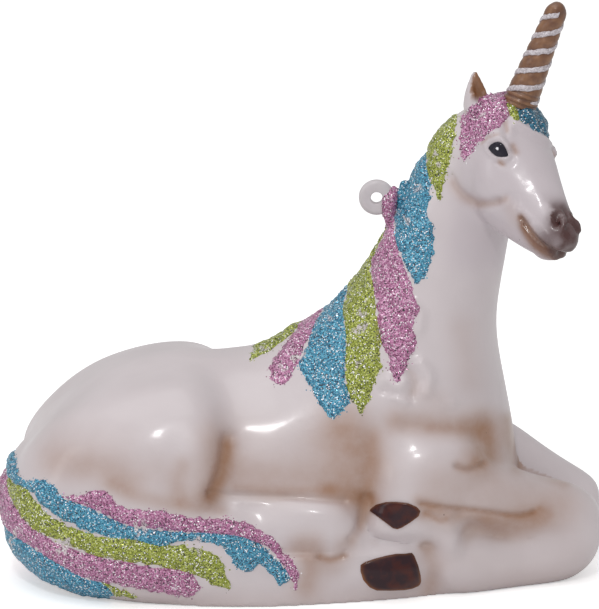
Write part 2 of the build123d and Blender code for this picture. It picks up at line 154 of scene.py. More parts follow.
def softened(piece, voxel, steps):
    # Remeshes a piece and relaxes its points
    remeshed(piece, voxel)
    places, edges = placesOf(piece.data), edgesOf(piece.data)
    for _ in range(steps):
        places += (neighbourMean(places, edges, len(places)) - places) * 0.5
    setPlaces(piece.data, places)
    return places


def numbersOf(items, name, width=1, kind=float):
    values = np.empty(len(items) * width, dtype=kind)
    items.foreach_get(name, values)
    return values.reshape(-1, width) if width > 1 else values


def placesOf(mesh):
    return numbersOf(mesh.vertices, "co", 3)


def setPlaces(mesh, places):
    mesh.vertices.foreach_set("co", places.ravel())
    mesh.update()


def normalsOf(mesh):
    return numbersOf(mesh.vertex_normals, "vector", 3)


def edgesOf(mesh):
    return numbersOf(mesh.edges, "vertices", 2, np.int64)


def neighbourMean(values, edges, count):
    ends = np.concatenate([edges[:, 0], edges[:, 1]])
    others = np.concatenate([edges[:, 1], edges[:, 0]])
    degree = np.maximum(np.bincount(ends, minlength=count), 1)
    if values.ndim == 1:
        return np.bincount(ends, values[others], count) / degree
    return np.stack([np.bincount(ends, values[others, axis], count) for axis in range(3)], 1) / degree[:, None]


def smoothStep(low, high, values):
    t = np.clip((values - low) / (high - low), 0.0, 1.0)
    return t * t * (3.0 - 2.0 * t)


def ripple(points, size, seed):
    # Soft random waves between about -1 and 1, with lumps of the given size
    maker = np.random.default_rng(seed)
    total = np.zeros(len(points))
    for _ in range(9):
        direction = maker.normal(size=3)
        direction *= maker.uniform(0.6, 1.5) / np.linalg.norm(direction)
        total += np.sin(points @ direction * (math.pi / size) + maker.uniform(0.0, 6.28))
    return total / 3.2


def waves(points, table):
    # Ripples added up: the share, size in mm and seed of each
    return sum(share * ripple(points, size * mm, seed) for share, size, seed in table)


def lineDistance(points, line):
    # Distance of picture points from a line of picture points
    best = np.full(len(points), 1e9)
    for start, end in zip(line[:-1], line[1:]):
        start, end = np.array(start, float), np.array(end, float)
        along = end - start
        t = np.clip((points - start) @ along / max(along @ along, 1e-9), 0.0, 1.0)
        best = np.minimum(best, np.linalg.norm(points - start - t[:, None] * along, axis=1))
    return best


def curveThrough(points, steps=6):
    # A smooth line through picked points
    ends = np.array([points[0]] + list(points) + [points[-1]], float)
    line = []
    for i in range(1, len(ends) - 2):
        a, b, c, d = ends[i - 1], ends[i], ends[i + 1], ends[i + 2]
        for s in range(steps):
            t = s / steps
            bend = (2 * a - 5 * b + 4 * c - d) * t**2 + (3 * b - a - 3 * c + d) * t**3
            line.append(0.5 * (2 * b + (c - a) * t + bend))
    line.append(ends[-2])
    return np.array(line)


def insideDistance(points, outline):
    # Distance from a closed outline, more than 0 inside it
    ring = np.vstack([outline, outline[:1]])
    inside = np.zeros(len(points), bool)
    for (ax, ay), (bx, by) in zip(ring[:-1], ring[1:]):
        if ay == by:
            continue
        crosses = (ay > points[:, 1]) != (by > points[:, 1])
        inside ^= crosses & (points[:, 0] < (bx - ax) * (points[:, 1] - ay) / (by - ay) + ax)
    return np.where(inside, 1.0, -1.0) * lineDistance(points, ring)


def addNumbers(mesh, name, values):
    attribute = mesh.attributes.new(name, "FLOAT", "POINT")
    attribute.data.foreach_set("value", np.asarray(values, np.float32))


def finishPiece(piece, material, replaced=(), smooth=True):
    for polygon in piece.data.polygons:
        polygon.use_smooth = smooth
    piece.data.materials.clear()
    piece.data.materials.append(material)
    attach(piece, "root")
    if replaced:
        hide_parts(*replaced)


# Small tools for materials
def newMaterial(name, **values):
    material = bpy.data.materials.new(name)
    material.use_nodes = True
    shader = material.node_tree.nodes["Principled BSDF"]
    for socket, value in values.items():
        shader.inputs[socket.replace("_", " ")].default_value = value
    return material, material.node_tree, shader


def addNode(tree, kind, **inputs):
    node = tree.nodes.new(kind)
    for socket, value in inputs.items():
        node.inputs[socket.replace("_", " ")].default_value = value
    return node


def plug(tree, socket, value):
    if isinstance(value, bpy.types.NodeSocket):
        tree.links.new(value, socket)
    else:
        socket.default_value = value


def mixColours(tree, factor, first, second):
    mix = tree.nodes.new("ShaderNodeMix")
    mix.data_type = "RGBA"
    for index, value in ((0, factor), (6, first), (7, second)):
        plug(tree, mix.inputs[index], value)
    return mix.outputs[2]


def stretched(tree, value, low, high, lowTo=0.0, highTo=1.0):
    node = addNode(tree, "ShaderNodeMapRange", From_Min=low, From_Max=high, To_Min=lowTo, To_Max=highTo)
    tree.links.new(value, node.inputs["Value"])
    return node.outputs["Result"]


def timesOf(tree, first, second):
    node = tree.nodes.new("ShaderNodeMath")
    node.operation = "MULTIPLY"
    node.use_clamp = True
    plug(tree, node.inputs[0], first)
    plug(tree, node.inputs[1], second)
    return node.outputs[0]


def vectorMaths(tree, operation, *values):
    node = tree.nodes.new("ShaderNodeVectorMath")
    node.operation = operation
    for socket, value in zip(node.inputs, values):
        plug(tree, socket, value)
    return node.outputs[0]


def objectNoise(tree, size, detail=2.0, roughness=0.5):
    place = tree.nodes.new("ShaderNodeTexCoord")
    noise = addNode(tree, "ShaderNodeTexNoise", Scale=1.0 / size, Detail=detail, Roughness=roughness)
    tree.links.new(place.outputs["Object"], noise.inputs["Vector"])
    return noise.outputs["Fac"]


def objectCells(tree, size):
    place = tree.nodes.new("ShaderNodeTexCoord")
    cells = addNode(tree, "ShaderNodeTexVoronoi", Scale=1.0 / size, Randomness=1.0)
    tree.links.new(place.outputs["Object"], cells.inputs["Vector"])
    separate = tree.nodes.new("ShaderNodeSeparateColor")
    tree.links.new(cells.outputs["Color"], separate.inputs["Color"])
    return cells, separate.outputs["Red"], separate.outputs["Green"]


def storedNumber(tree, name):
    node = tree.nodes.new("ShaderNodeAttribute")
    node.attribute_name = name
    return node.outputs["Fac"]


def bumped(tree, shader, height, distance, strength=1.0):
    bump = addNode(tree, "ShaderNodeBump", Strength=strength, Distance=distance)
    tree.links.new(height, bump.inputs["Height"])
    tree.links.new(bump.outputs["Normal"], shader.inputs["Normal"])


# Paints. The white lacquer takes its brown washes and its painted shade from masks that are laid on the body later
lacquerTones = {
    "white": (0.64, 0.575, 0.59, 1.0),
    "dim": (0.60, 0.535, 0.55, 1.0),
    # painted shade in the hollows of the body
    "hollowShade": (0.45, 0.33, 0.28, 1.0),
    # painted shade: the head darkened towards purple-grey
    "headShade": (0.40, 0.34, 0.40, 1.0),
    # brown wash in the creases, also used as painted shade in the recesses and under the belly
    "washAndShade": (0.30, 0.125, 0.038, 1.0),
    # brown muzzle and inner-ear paint, deepened with painted shade on the far side of the muzzle and in the nostrils
    "muzzle": (0.072, 0.025, 0.023, 1.0),
    "speck": (0.07, 0.045, 0.04, 1.0),
}


def makeLacquer():
    material, tree, shader = newMaterial("whiteLacquer", Roughness=0.38, Coat_Weight=0.30, Coat_Roughness=0.13)
    base = mixColours(tree, stretched(tree, objectNoise(tree, 9 * mm), 0.35, 0.75), lacquerTones["white"],
                      lacquerTones["dim"])
    headShaded = mixColours(tree, storedNumber(tree, "headShade"), base, lacquerTones["headShade"])
    shaded = mixColours(tree, storedNumber(tree, "hollowShade"), headShaded, lacquerTones["hollowShade"])
    uneven = stretched(tree, objectNoise(tree, 2.5 * mm, 4.0, 0.6), 0.3, 0.7, 0.88, 1.08)
    washedAndShaded = mixColours(tree, timesOf(tree, storedNumber(tree, "washAndShade"), uneven), shaded, lacquerTones["washAndShade"])
    painted = mixColours(tree, timesOf(tree, storedNumber(tree, "muzzle"), uneven), washedAndShaded, lacquerTones["muzzle"])
    cells, random, _ = objectCells(tree, 2.4 * mm)
    dot = stretched(tree, cells.outputs["Distance"], 0.035, 0.06, 1.0, 0.0)
    rare = stretched(tree, random, 0.90, 0.92)
    specked = mixColours(tree, timesOf(tree, timesOf(tree, dot, rare), 0.75), painted, lacquerTones["speck"])
    tree.links.new(specked, shader.inputs["Base Color"])
    bumped(tree, shader, objectNoise(tree, 2.2 * mm, 3.0), 0.055 * mm, 0.8)
    return material


glitterTones = {
    "pink": {"deep": (0.22, 0.055, 0.135, 1), "main": (0.47, 0.17, 0.33, 1), "light": (0.76, 0.43, 0.62, 1)},
    "blue": {"deep": (0.010, 0.085, 0.17, 1), "main": (0.040, 0.26, 0.42, 1), "light": (0.19, 0.55, 0.72, 1)},
    "green": {"deep": (0.12, 0.14, 0.006, 1), "main": (0.28, 0.33, 0.022, 1), "light": (0.64, 0.68, 0.20, 1)},
    "deepBlue": {"deep": (0.003, 0.035, 0.07, 1), "main": (0.008, 0.12, 0.22, 1), "light": (0.04, 0.28, 0.41, 1)},
}

glitterCell, glitterLean = 0.17 * mm, 0.95
# white painted into single glitter cells and flakes: painted sparkle highlights
sparkleHighlight, sparkBlack = (1.0, 0.98, 1.0, 1), (0.03, 0.026, 0.035, 1)


def makeGlitter(colour):
    tones = glitterTones[colour]
    material, tree, shader = newMaterial(colour + "Glitter", Roughness=0.34, Metallic=0.2, Coat_Weight=0.3,
                                         Coat_Roughness=0.12)
    cells, random, other = objectCells(tree, glitterCell)
    darker = mixColours(tree, stretched(tree, random, 0.05, 0.45), tones["deep"], tones["main"])
    lighter = mixColours(tree, stretched(tree, random, 0.60, 0.95), darker, tones["light"])
    black = mixColours(tree, stretched(tree, other, 0.875, 0.895), lighter, sparkBlack)
    # a few cells painted white: painted sparkle highlights
    white = mixColours(tree, stretched(tree, other, 0.065, 0.05), black, sparkleHighlight)
    bareness = timesOf(tree, storedNumber(tree, "bare"), stretched(tree, random, 0.25, 0.30))
    bare = mixColours(tree, bareness, white, lacquerTones["white"])
    tree.links.new(bare, shader.inputs["Base Color"])
    # Each cell leans its own way
    surface = tree.nodes.new("ShaderNodeNewGeometry").outputs["Normal"]
    centred = vectorMaths(tree, "SUBTRACT", cells.outputs["Color"], (0.5, 0.5, 0.5))
    tipped = vectorMaths(tree, "MULTIPLY_ADD", centred, (glitterLean,) * 3, surface)
    tree.links.new(vectorMaths(tree, "NORMALIZE", tipped), shader.inputs["Normal"])
    return material


def makeFlakes(colour):
    tones = glitterTones[colour]
    material, tree, shader = newMaterial(colour + "Flakes", Roughness=0.2, Metallic=0.45)
    random = storedNumber(tree, "shade")
    darker = mixColours(tree, stretched(tree, random, 0.10, 0.25), tones["deep"], tones["main"])
    lighter = mixColours(tree, stretched(tree, random, 0.4, 0.8), darker, tones["light"])
    # a few flakes painted white: painted sparkle highlights
    white = mixColours(tree, stretched(tree, random, 0.86, 0.88), lighter, sparkleHighlight)
    tree.links.new(white, shader.inputs["Base Color"])
    return material


# Plain paints: noise between two tones (size in mm, detail, low, high), a stored mask's tone, and bump
# (size in mm, detail, height in mm)
paintSettings = {
    "hornBronze": {
        "shader": {"Roughness": 0.36, "Metallic": 0.1, "Coat_Weight": 0.3, "Coat_Roughness": 0.14},
        "noise": (1.3, 4.0, 0.3, 0.7), "tones": ((0.14, 0.058, 0.032, 1), (0.27, 0.132, 0.064, 1)),
        # the horn's mask tone is painted shade in its grooves and folds
        "mask": ("edgeTintAndShade", (0.10, 0.042, 0.03, 1)), "bump": (0.6, 3.0, 0.05)},
    "hoofEnamel": {
        "shader": {"Roughness": 0.22, "Specular_IOR_Level": 0.25, "Coat_Weight": 0.12, "Coat_Roughness": 0.06},
        "noise": (2.2, 3.0, 0.42, 0.66), "tones": ((0.030, 0.011, 0.015, 1), (0.068, 0.014, 0.010, 1)),
        "mask": ("edgeTintAndShade", (0.27, 0.10, 0.03, 1)), "bump": (1.8, 2.0, 0.05)},
    "eyeEnamel": {
        "shader": {"Roughness": 0.12, "Specular_IOR_Level": 0.3},
        "noise": (1.0, 2.0, 0.0, 1.0), "tones": ((0.010, 0.009, 0.016, 1), (0.026, 0.022, 0.036, 1)),
        "mask": ("glint", (0.85, 0.83, 0.88, 1))},
    "milkyPlastic": {
        "shader": {"Roughness": 0.32, "Transmission_Weight": 0.3, "IOR": 1.45},
        "noise": (1.5, 2.0, 0.0, 1.0), "tones": ((0.66, 0.61, 0.63, 1), (0.80, 0.74, 0.76, 1)),
        "bump": (1.2, 2.0, 0.04)},
}


def makePaint(name):
    values = paintSettings[name]
    material, tree, shader = newMaterial(name, **values["shader"])
    size, detail, low, high = values["noise"]
    colour = mixColours(tree, stretched(tree, objectNoise(tree, size * mm, detail), low, high), *values["tones"])
    if "mask" in values:
        mask, tone = values["mask"]
        colour = mixColours(tree, storedNumber(tree, mask), colour, tone)
    tree.links.new(colour, shader.inputs["Base Color"])
    if "bump" in values:
        size, detail, height = values["bump"]
        bumped(tree, shader, objectNoise(tree, size * mm, detail), height * mm)
    return material


def makeBandWhite():
    material, tree, shader = newMaterial("hornWhite", Roughness=0.45)
    _, random, other = objectCells(tree, 0.22 * mm)
    tone = mixColours(tree, random, (0.40, 0.35, 0.37, 1), (0.72, 0.67, 0.71, 1))
    tree.links.new(tone, shader.inputs["Base Color"])
    bumped(tree, shader, other, 0.05 * mm)
    return material


lacquer = makeLacquer()
glitter = {colour: makeGlitter(colour) for colour in glitterTones}
flakeFinish = {colour: makeFlakes(colour) for colour in ("pink", "blue", "green")}
paints = {name: makePaint(name) for name in paintSettings}
bandWhite = makeBandWhite()
print("materials made")


# The body: the CAD casting with its creases filled as in a modelled figure, then worked over with drawn strokes
bodySettings = {"voxel": 0.45 * mm, "fillSteps": 220, "fillRate": 0.9, "triangles": 190000, "unevenness": 0.05}

body = copyOfNodes("body", ["body_casting", "eye_right", "eye_left"])
remeshed(body, bodySettings["voxel"])
places, edges = placesOf(body.data), edgesOf(body.data)
count = len(places)
print("body remeshed,", count, "points")

# How far each crease is filled, from 0 to 1: croup, back and shoulder by fades along x and z in mm, then
# the head and the ears
x, z = places[:, 0] / mm, places[:, 2] / mm
head = inHead(places)
fill = {"least": 0.12, "head": 0.14, "ears": 0.03}
fillRegions = [
    (1.0, [(x, -9, -15), (z, 17, 24)]),
    (1.0, [(z, 24, 30), (x, 0, -6)]),
    (0.8, [(x, 5, 10), (x, 34, 28), (z, 16, 22), (z, 47, 38)]),
]
softness = np.full(count, fill["least"])
for amount, fades in fillRegions:
    for along, start, end in fades:
        amount = amount * smoothStep(start, end, along)
    softness = np.maximum(softness, amount)
softness = np.where((head[:, 0] > -0.05) & (head[:, 1] > -0.85) & (z > 52), fill["head"], softness)
softness = np.where((head[:, 1] > 0.04) & (head[:, 0] < 0.15) & (z > 78), fill["ears"], softness)
for step in range(bodySettings["fillSteps"]):
    if step % 10 == 0:
        setPlaces(body.data, places)
        normals = normalsOf(body.data)
    inward = neighbourMean(places, edges, count) - places
    lift = np.clip(np.einsum("ij,ij->i", inward, normals), 0.0, None)
    filling = softness > step / bodySettings["fillSteps"]
    places += normals * (lift * bodySettings["fillRate"] * filling)[:, None]

# Croup and haunches are bridged across the back: each slice takes its hull, slightly crowned
croup = {"slice": 0.5 * mm, "first": -53.0 * mm, "last": -4.0 * mm, "fan": (25.0, 155.0, 61), "rounding": 6,
         "crown": 0.2 * mm, "crownSpread": 22.0, "above": 16.0 * mm, "most": 5.0 * mm, "front": (-9, -17),
         "end": (-53, -50), "height": (18, 27), "sweep": 48.0, "aslant": (14, 6), "relaxing": 40}
angles = np.radians(np.linspace(*croup["fan"]))
ways = np.stack([np.cos(angles), np.sin(angles)])
slices = int((croup["last"] - croup["first"]) / croup["slice"])
sliceOf = (places[:, 0] - croup["first"]) / croup["slice"]
rear = np.nonzero((sliceOf > 0) & (sliceOf < slices - 1) & (places[:, 2] > croup["above"]))[0]
reach = places[rear][:, 1:] @ ways
low = sliceOf[rear].astype(int)
support = np.array([reach[low == i].max(0) if (low == i).any() else np.zeros(len(angles)) for i in range(slices)])
for _ in range(croup["rounding"]):
    support[1:-1] = 0.5 * support[1:-1] + 0.25 * (support[:-2] + support[2:])
support += croup["crown"] * np.exp(-((angles - math.pi / 2) / math.radians(croup["crownSpread"])) ** 2)
part = (sliceOf[rear] - low)[:, None]
gaps = support[low] * (1.0 - part) + support[low + 1] * part - reach
nearest = gaps.argmin(1)
weight = smoothStep(*croup["front"], x[rear]) * smoothStep(*croup["end"], x[rear])
weight *= smoothStep(*croup["height"], z[rear])
aslant = np.degrees(np.abs(angles[nearest] - math.pi / 2)) - croup["sweep"]
weight *= smoothStep(*croup["aslant"], aslant)
lift = np.clip(gaps[np.arange(len(rear)), nearest], 0.0, croup["most"]) * weight
places[rear, 1:] += (ways[:, nearest] * lift).T
for _ in range(croup["relaxing"]):
    near = (neighbourMean(places, edges, count) - places)[rear]
    places[rear] += near * (weight * 0.5)[:, None]
for step in range(8):
    places += (neighbourMean(places, edges, count) - places) * (0.5 if step % 2 == 0 else -0.48)
print("creases filled")

# Lines drawn in the picture lie on the body or the head, on both sides or on the near one, which ends at nearTo
drawn = {"nearTo": 2.0 * mm, "mirror": (1, -1, 1)}


def linesLaid(tables, places, normals, onHead, spread, turned, farShare):
    # Each line's value, times how strongly the line covers each point
    flip = drawn["mirror"]
    for (part, side), lines in tables.items():
        views = [(inView(places), normals, places[:, 1], 1.0)]
        if (part, side) == ("body", "both"):
            views.append((inView(places * flip), normals * flip, -places[:, 1], farShare))
        if (part, side) == ("head", "both"):
            views.append((inView(headMirror(places)), headMirrorWay(normals), places[:, 1], 1.0))
        for seen, ways, aside, share in views:
            front = smoothStep(*turned, ways @ viewBack)
            onSide = onHead if part == "head" else (aside < drawn["nearTo"]) & ~onHead
            for line, width, value in lines:
                near = lineDistance(seen, curveThrough(line)) * pixel / mm
                yield np.exp(-((near / (width * spread)) ** 2)) * front * onSide * value * share


# Strokes pressed in or raised: picture line, width and height in mm
strokes = {}
strokes["body", "both"] = [
    ([(212, 372), (228, 402), (232, 440), (222, 478)], 5.0, -0.5),
    ([(230, 436), (224, 476), (212, 494)], 2.0, -0.8),
    ([(182, 445), (178, 500)], 6.0, -0.4),
    ([(214, 495), (260, 496), (300, 497), (345, 500)], 1.0, -0.55),
    ([(240, 506), (290, 508), (340, 512)], 2.4, 0.25),
    ([(374, 430), (372, 470), (364, 497)], 4.2, -0.8),
    ([(366, 500), (362, 524), (352, 540)], 1.6, -0.7),
    ([(320, 557), (332, 560), (344, 556)], 1.2, -0.7),
    ([(361, 540), (380, 533), (400, 545)], 2.6, 0.45),
    ([(428, 552), (434, 570), (430, 592)], 3.0, -0.6),
    ([(76, 478), (98, 470), (120, 484)], 5.0, -0.3),
]
strokes["body", "near"] = [
    ([(420, 504), (448, 508), (476, 510), (515, 515), (534, 512)], 0.8, -0.6),
    ([(426, 513), (446, 520), (462, 513)], 1.0, -0.4),
    ([(448, 524), (450, 546)], 3.0, 1.15),
    ([(470, 530), (466, 552)], 2.4, -0.35),
    ([(478, 528), (505, 532), (536, 520)], 3.0, -0.45),
    ([(457, 466), (472, 469), (488, 463)], 1.0, -0.7),
    ([(484, 440), (490, 452)], 4.0, -1.0),
    ([(410, 424), (450, 428), (490, 424)], 3.2, -0.55),
    ([(388, 380), (397, 387), (404, 382)], 1.4, 0.7),
    ([(421, 364), (429, 377), (426, 392)], 1.7, 0.8),
    ([(392, 397), (405, 402)], 1.3, 0.6),
    ([(410, 370), (415, 384), (412, 396)], 1.5, -0.6),
    ([(383, 390), (393, 394)], 1.1, -0.4),
    ([(432, 396), (441, 404), (452, 404)], 1.6, 0.35),
    ([(413, 304), (421, 314), (419, 330)], 1.5, 0.5),
]
strokes["head", "both"] = [
    ([(486, 146), (490, 142), (497, 139), (504, 141), (510, 149)], 0.7, 0.45),
    ([(486, 149), (491, 155), (499, 159), (509, 158)], 0.6, 0.35),
    ([(480, 143), (488, 135), (498, 130), (510, 132)], 1.3, 0.28),
    ([(506, 122), (506, 134), (513, 146)], 0.9, -0.32),
    ([(498, 163), (505, 165), (512, 159)], 0.9, -0.25),
    ([(450, 176), (457, 190), (468, 199), (482, 204), (496, 202)], 1.2, -0.55),
    ([(496, 202), (510, 196), (516, 204)], 1.2, -0.3),
    ([(520.5, 217), (525, 224), (530, 231), (535, 237), (541, 243), (548, 248), (554, 252), (562, 255)], 0.55, -0.75),
    ([(522, 226), (527, 235), (534, 244), (543, 251), (555, 256)], 1.0, 0.28),
    ([(518, 208), (525, 214), (532, 221), (540, 229), (546, 236)], 0.9, 0.3),
    ([(529, 221), (532, 222)], 0.5, -0.25),
    ([(537, 228), (538, 231)], 0.5, -0.25),
    ([(543, 236), (545, 238)], 0.5, -0.2),
    ([(534, 182), (541, 199)], 1.2, 0.08),
    ([(521, 172), (530, 186)], 2.2, -0.1),
    ([(550, 221), (552, 214), (558, 211), (564, 214), (566, 221), (563, 228)], 0.6, 0.4),
    ([(557, 217), (558.5, 223)], 1.35, -1.55),
    ([(567, 208), (569, 218), (568, 228)], 0.8, -0.35),
]
strokes["head", "near"] = [
    ([(515, 121), (520, 125), (530, 131), (543, 139), (552, 145)], 0.8, 0.42),
    ([(516, 128), (529, 136), (541, 144), (549, 149)], 0.9, -0.22),
]
setPlaces(body.data, places)
normals = normalsOf(body.data)
onHead = isOnHead(places, headSettings["strokes"])
push = sum(linesLaid(strokes, places, normals, onHead, 0.6, (0.0, 0.25), 1.0))
places += normals * ((push + ripple(places, 6 * mm, 3) * bodySettings["unevenness"]) * mm)[:, None]
places[:, 2] = np.maximum(places[:, 2], 0.0)
setPlaces(body.data, places)
normals = normalsOf(body.data)
bodyTree = BVHTree.FromObject(body, bpy.context.evaluated_depsgraph_get())
print("body worked over")


# The raised glitter coats follow outlines on the body: each lock's two edges from the root, and its tip, in
# picture points
coat = {"thickness": 0.46, "rise": 1.0, "ragged": 0.30, "grain": 0.025, "grow": 0.18, "gap": 0.22,
        "margin": 0.9, "rim": 0.28, "edgeSink": 0.10, "bareSink": 0.12, "underside": 0.35,
        "raggedWaves": ((0.6, 0.7, 5), (0.5, 2.5, 6)), "lumps": ((0.13, 2.2, 8), (0.07, 0.8, 9)),
        "bareWaves": ((1.0, 3.0, 31), (0.35, 0.7, 32)), "bareFrom": (1.4, 1.7), "spotWaves": ((2.0, 0.6, 33),),
        "spotBareness": 0.85, "flakesFrom": 0.1, "flakes": 0.11, "strays": 0.10, "strayReach": 0.32}
coatOutlines = {
    "mane_green_poll": ([(459, 105), (447, 101), (434, 112), (424, 127), (428, 146), (427, 160), (429, 174),
        (435, 190)], [(459, 105), (457, 112), (455, 121), (453, 137), (449, 158), (445, 178)], (440, 199)),
    "mane_blue_crest": ([(440, 122), (424, 128), (410, 148), (399, 168), (388, 182), (393, 198), (395, 215),
        (397, 240), (406, 265)], [(440, 122), (436, 150), (430, 172), (430, 188), (427, 205), (428, 218), (432, 235),
        (431, 258), (426, 275)], (416, 282)),
    "mane_pink_eyelet": ([(394, 184), (378, 186), (376, 204), (384, 218), (387, 228), (384, 237), (379, 247),
        (373, 261), (372, 272), (374, 284), (377, 305), (379, 326), (386, 355)], [(394, 184), (396, 197), (394, 233),
        (404, 268), (412, 290), (418, 308), (412, 324), (415, 344), (406, 366)], (397, 383)),
    "mane_green_mid": ([(388, 228), (372, 236), (356, 253), (348, 268), (353, 275), (350, 284), (347, 294),
        (344, 308), (345, 322), (347, 340), (346, 376), (354, 402)], [(388, 228), (387, 240), (379, 254), (374, 280),
        (375, 305), (381, 340), (379, 369), (370, 394)], (362, 411)),
    "mane_blue_low": ([(356, 268), (342, 275), (333, 284), (338, 294), (331, 302), (323, 311), (317, 322), (310, 338),
        (300, 366), (314, 391), (325, 411)], [(356, 268), (352, 290), (345, 319), (349, 351), (344, 376), (348, 398),
        (342, 410)], (334, 419)),
    "mane_pink_low": ([(342, 288), (326, 291), (308, 302), (307, 316), (298, 328), (287, 343), (275, 359),
        (269, 376)], [(342, 288), (336, 300), (322, 314), (311, 337), (294, 369), (286, 382)], (278, 385)),
    "mane_green_thin": ([(314, 306), (292, 312), (272, 326), (257, 342)], [(314, 306), (304, 322), (288, 336),
        (272, 349)], (251, 360)),
    "forelock_green": ([(507, 104), (509, 111), (513, 118)], [(507, 104), (514, 106), (518, 113)], (519, 121)),
    "forelock_pink": ([(508, 90), (496, 90), (485, 96), (473, 107), (463, 118), (461, 132), (459, 143), (461, 153)],
        [(508, 90), (513, 104), (508, 116), (495, 128), (483, 138), (472, 150)], (465, 160)),
    "forelock_blue": ([(515, 100), (514, 108), (518, 117), (529, 125), (543, 133)], [(515, 100), (527, 100),
        (540, 107), (551, 120), (558, 133)], (553, 139)),
    "tail_pink_top": ([(62, 497), (80, 494), (94, 491), (108, 496), (124, 509), (158, 511), (189, 518), (232, 520),
        (266, 535), (285, 554), (298, 569)], [(62, 497), (94, 509), (128, 525), (162, 529), (202, 532), (236, 535),
        (270, 549), (286, 569)], (296, 588)),
    "tail_blue_top": ([(12, 440), (16, 462), (22, 480), (50, 484), (67, 500), (94, 510), (135, 527), (175, 533),
        (219, 535), (256, 543), (280, 564), (289, 578)], [(12, 440), (8, 462), (12, 480), (27, 488), (40, 502),
        (67, 519), (101, 535), (135, 539), (162, 545), (185, 539), (219, 545), (236, 565), (249, 572), (259, 562),
        (269, 571)], (280, 585)),
    "tail_green": ([(13, 472), (27, 488), (37, 504), (54, 521), (88, 535), (128, 539), (168, 545), (202, 550),
        (222, 564)], [(13, 472), (8, 486), (17, 508), (34, 528), (67, 545), (101, 556), (152, 565), (189, 572),
        (209, 582)], (229, 588)),
    "tail_pink_low": ([(4, 464), (8, 482), (17, 509), (34, 529), (67, 546), (101, 558), (152, 567), (189, 573)],
        [(-8, 466), (-8, 490), (0, 514), (14, 534), (50, 557), (84, 577), (118, 584), (152, 590), (189, 595)],
        (199, 586)),
    "tail_blue_low": ([(-4, 520), (14, 536), (34, 549), (67, 570), (101, 583)], [(-4, 520), (4, 548), (30, 572),
        (66, 590), (101, 600)], (113, 595)),
    "tail_green_streak": ([(94, 578), (112, 586)], [(94, 578), (112, 594)], (137, 597)),
}
# Coats that stand higher, in mm, and the picture place and radius of spots where the glitter is worn
coatExtra = {"forelock_blue": 0.45, "tail_blue_top": 0.1}
coatLayers = {kind: [name for name in coatOutlines if name.startswith(kind)]
              for kind in ("mane", "forelock", "tail")}
bareSpots = [(420, 190, 4), (410, 222, 5), (391, 257, 3), (362, 315, 4.5), (332, 320, 2), (437, 155, 4),
             (483, 118, 3), (472, 137, 2), (283, 370, 3.5), (441, 165, 3.5)]


# How far the coats may reach: lengths in mm, shares of the head's length, and turns away from the viewer
limits = {"maneAcross": 2.0, "maneTurn": 0.75, "turnLength": 4.0, "headLength": 31.0, "poll": 0.16,
          "pollAcross": 0.11, "forelockTurn": 0.25, "forelockDown": 0.36, "forelockFrom": 66.0,
          "tailTurn": 0.1, "rump": -42.0, "tailFrom": 0.5, "tailTo": 26.0, "tailAcross": 4.0}


def coatLimit(kind, points, facing):
    # How far, in mm, a place lies inside the part of the body that this kind of coat may cover
    x, y, z = (points / mm).T
    turn, length = limits["turnLength"], limits["headLength"]
    if kind == "mane":
        return np.minimum(limits["maneAcross"] - y, (facing + limits["maneTurn"]) * turn)
    if kind == "forelock":
        head = inHead(points)
        behind = np.where(head[:, 0] < limits["poll"], (head[:, 2] + limits["pollAcross"]) * length,
                          (facing + limits["forelockTurn"]) * turn)
        return np.minimum.reduce([(head[:, 1] + limits["forelockDown"]) * length, z - limits["forelockFrom"], behind])
    roundSide = np.maximum((facing + limits["tailTurn"]) * turn, limits["rump"] - x)
    return np.minimum.reduce([z - limits["tailFrom"], limits["tailTo"] - z, roundSide, limits["tailAcross"] - y])


def pointsAndWays(bm):
    return np.array([v.co for v in bm.verts]), np.array([v.normal for v in bm.verts])


def dropFaces(bm, isDropped):
    bmesh.ops.delete(bm, geom=[face for face in bm.faces if isDropped(face)], context="FACES")


